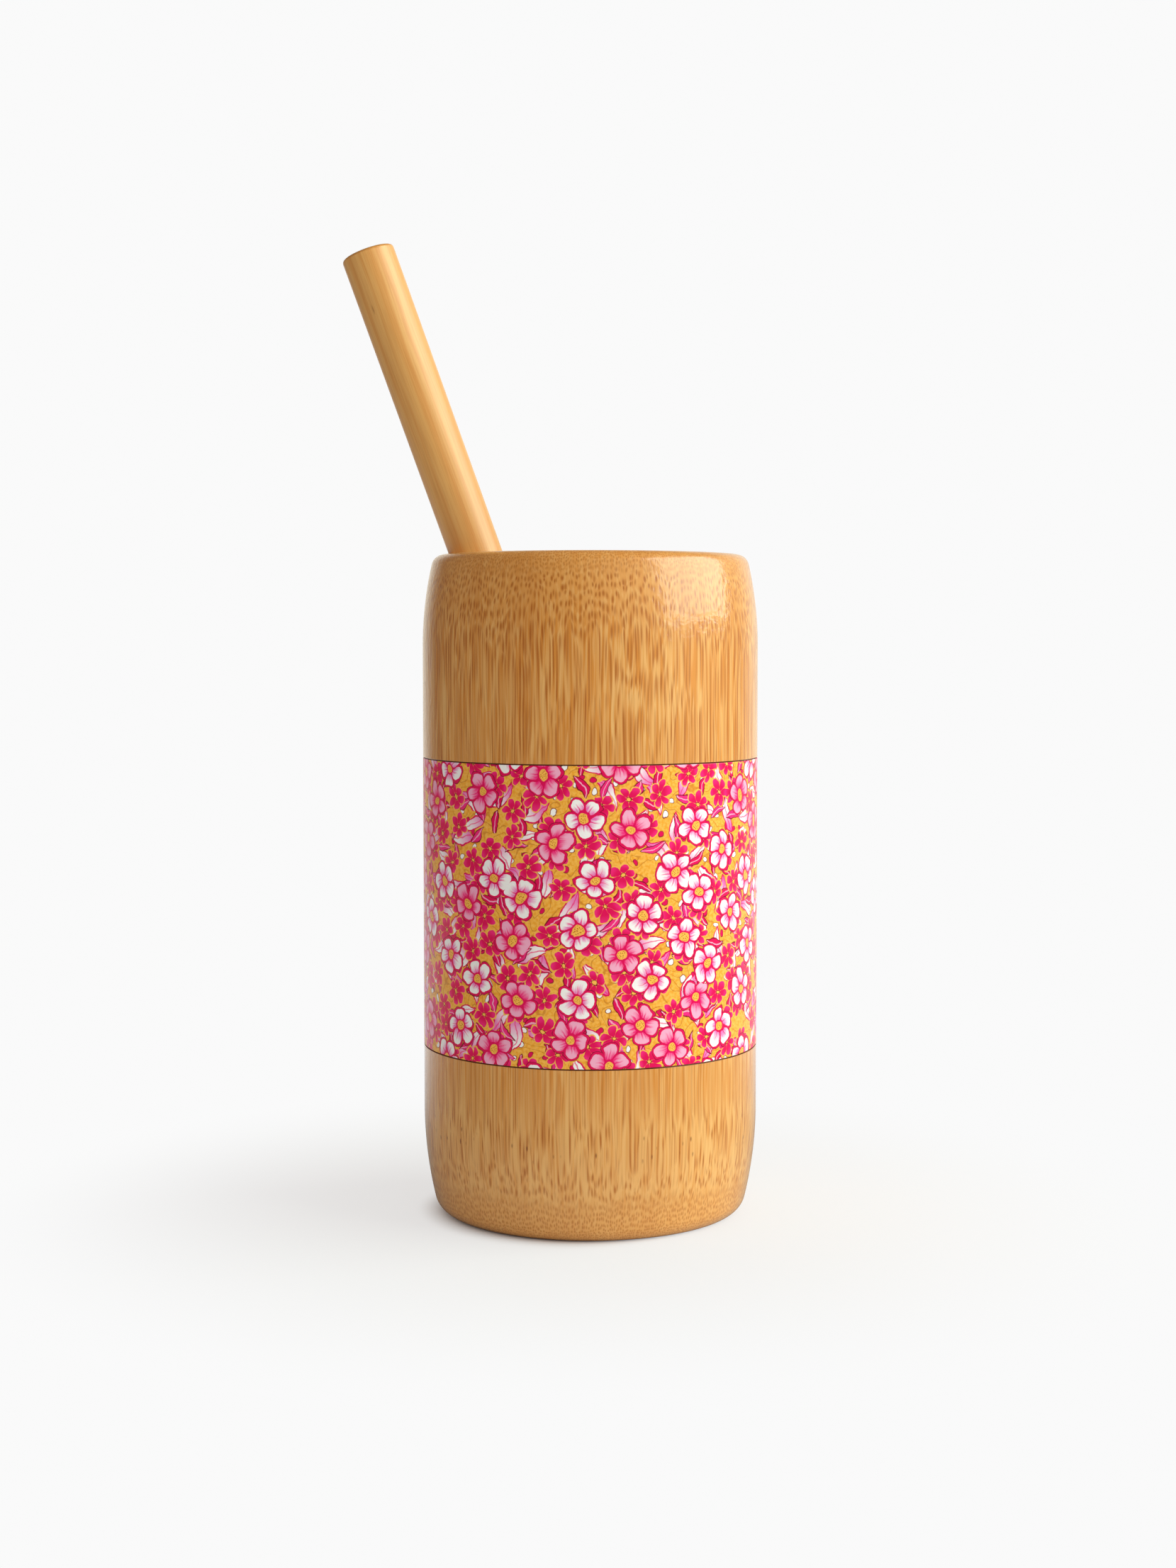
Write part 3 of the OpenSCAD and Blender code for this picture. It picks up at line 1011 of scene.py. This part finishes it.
# %% The whole print
def flower_print(g):
    uv = g.node("ShaderNodeUVMap", uv_map="print")
    shaken = g.vector("ADD", g.shake(uv, 0.22, amount=2.4), g.shake(uv, 1.1, amount=0.4))
    place = g.vector("ADD", uv, shaken)
    pattern = print_ground(g, uv, place)
    for print_kind in (print_leaves, print_small_flowers, print_large_flowers):
        pattern = print_kind(g, place, pattern)

    grain = g.noise(uv, 2.2, detail=3.0)
    g.surface(
        Base_Color=pattern, Roughness=g.fade(grain, 0.2, 0.8, 0.38, 0.5),
        Normal=g.bump(grain, strength=0.15, depth=0.03 * MM), Specular_IOR_Level=0.1,
        Coat_Weight=0.5, Coat_Roughness=0.2, Coat_IOR=1.45,
    )


film = new_object("printed_band", film_shape)
film.data.materials.append(new_material("Flower print", flower_print))
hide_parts("printed_wrap")
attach(film, "cup")

# %% [markdown]
# ## Floor, light and room
# The photograph is a bright still life: a white floor that runs up into a white background, one
# large soft light at the right, above the cup, and a much weaker light from everywhere else. The
# soft light makes the bright right side, the pale patch on the right of the lip, and a faint
# shadow to the left. The white of the background is made by the floor and the room for the camera
# and for reflections alone, so that it doesn't wash out the wood. Reflections find that white
# only behind the cup: its edges catch a thin pale line, and its front stays clear. Close round
# the foot the floor is plain matt white, which keeps the contact shadow dark. The lights have a
# slight tint each, one greener and the others warmer, to match the mixed light of the photograph.

# %% White floor that keeps the shadow
background, floor_lift = 0.955, 0.62
floor_shown, contact_shown = (0.30, 0.30, 0.30, 1), (0.86, 0.86, 0.86, 1)
floor_albedo, mirrored_albedo = 0.8, 0.4
contact_width = 9 * MM
shadow_near, shadow_far = 50 * MM, 145 * MM
table_r = 0.75


def matt(g, color):
    return g.node("ShaderNodeBsdfDiffuse", {"Color": color})


def glow(g, strength, color=(1, 1, 1, 1), kind="ShaderNodeEmission"):
    return g.node(kind, {"Color": color, "Strength": strength})


def either(g, share, first, second):
    """The first shader where share is 0, and the second where it is 1."""
    return g.node("ShaderNodeMixShader", {0: share, 1: first, 2: second})


def ray_kinds(g):
    """Whether a place is seen by the camera, and whether it is seen in a reflection."""
    rays = g.outputs("ShaderNodeLightPath")
    seen = g.most(rays["Is Camera Ray"], rays["Is Transmission Ray"])
    return seen, rays["Is Glossy Ray"]


def floor_finish(g):
    seen, reflected = ray_kinds(g)
    place = g.node("ShaderNodeTexCoord", out="Object")
    out = g.node("ShaderNodeVectorMath", {0: place}, out="Value", operation="LENGTH")
    right, behind, _ = g.split(place)

    shown, lift = matt(g, floor_shown), glow(g, floor_lift)
    lifted = g.node("ShaderNodeAddShader", {0: shown, 1: lift})
    lit_side = g.fade(right, -contact_width, foot_r, 0.0, contact_width * 0.8)
    from_foot = g.fade(out + lit_side, foot_r, foot_r + contact_width)
    seen_floor = either(g, from_foot, matt(g, contact_shown), lifted)
    albedo = g.fade(reflected, 0.0, 1.0, floor_albedo, mirrored_albedo)
    real_floor = matt(g, g.join(albedo, albedo, albedo))
    near = either(g, seen, real_floor, seen_floor)
    mirrored = glow(g, g.fade(behind, -0.05, 0.25, 0.05, background))
    far = either(g, reflected, glow(g, background), mirrored)
    far_share = g.fade(out, shadow_near, shadow_far) * g.most(seen, reflected)
    whole = either(g, far_share, near, far)
    g.add_node("ShaderNodeOutputMaterial", {"Surface": whole})


floor_ring = [(x, y, 0) for x, y in arc((0, 0), table_r, 0, 360, 96)[1:]]
floor_mesh = bpy.data.meshes.new("floor")
floor_mesh.from_pydata(floor_ring, [], [tuple(range(len(floor_ring)))])
floor = new_object("floor", floor_mesh)
floor.data.materials.append(new_material("White floor", floor_finish, emptied=True))
print("floor of", 2 * table_r, "m")

# %% Soft light at the right, and a weak one in front
lit_middle = Vector((0, 0, cup_h * 0.6))


def soft_light(name, azimuth, elevation, distance, width, height, power, tint):
    """A rectangular lamp. Azimuth 0 is at the camera's side of the cup and 90 at the right."""
    data = bpy.data.lights.new(name, "AREA")
    data.shape = "RECTANGLE"
    data.color = tint
    data.size, data.size_y, data.energy = width, height, power
    lamp = new_object(name, data)
    a, e = math.radians(azimuth), math.radians(elevation)
    away = Vector((math.sin(a) * math.cos(e), -math.cos(a) * math.cos(e), math.sin(e)))
    lamp.location = lit_middle + away * distance
    lamp.rotation_euler = away.to_track_quat("Z", "Y").to_euler()
    return lamp


soft_light(
    "Soft box", azimuth=80, elevation=29, distance=1.0, width=1.05, height=0.75, power=10.3,
    tint=(0.89, 1.0, 0.92),
)
front = soft_light(
    "Front fill", azimuth=32, elevation=25, distance=1.6, width=1.6, height=1.2, power=7.0,
    tint=(1.0, 0.96, 0.92),
)
front.visible_glossy = False
print("one soft light at the right, and one weak light in front")

# %% The room
def white_room():
    """White for the camera, weak and warm as a light, and mirrored only behind the cup."""
    room = bpy.data.worlds.new("Room")
    g = graph_of(room, emptied=True)
    seen, reflected = ray_kinds(g)
    right, behind, _ = g.split(g.node("ShaderNodeTexCoord", out="Generated"))

    def light(strength, color=(1, 1, 1, 1)):
        return glow(g, strength, color, kind="ShaderNodeBackground")

    fill_light = light(g.fade(behind, -0.2, 1.0, 0.36, 0.8), (1, 0.96, 0.91, 1))
    behind_or_right = behind + g.most(right, 0.0) * 0.25
    mirrored = light(g.fade(behind_or_right, 0.64, 0.99, 0.05, 0.96), (1, 0.95, 0.82, 1))
    unseen = either(g, reflected, fill_light, mirrored)
    whole = either(g, seen, unseen, light(background))
    g.add_node("ShaderNodeOutputWorld", {"Surface": whole})
    return room


scene.world = white_room()
scene.view_settings.view_transform = "Standard"
print("world:", scene.world.name)
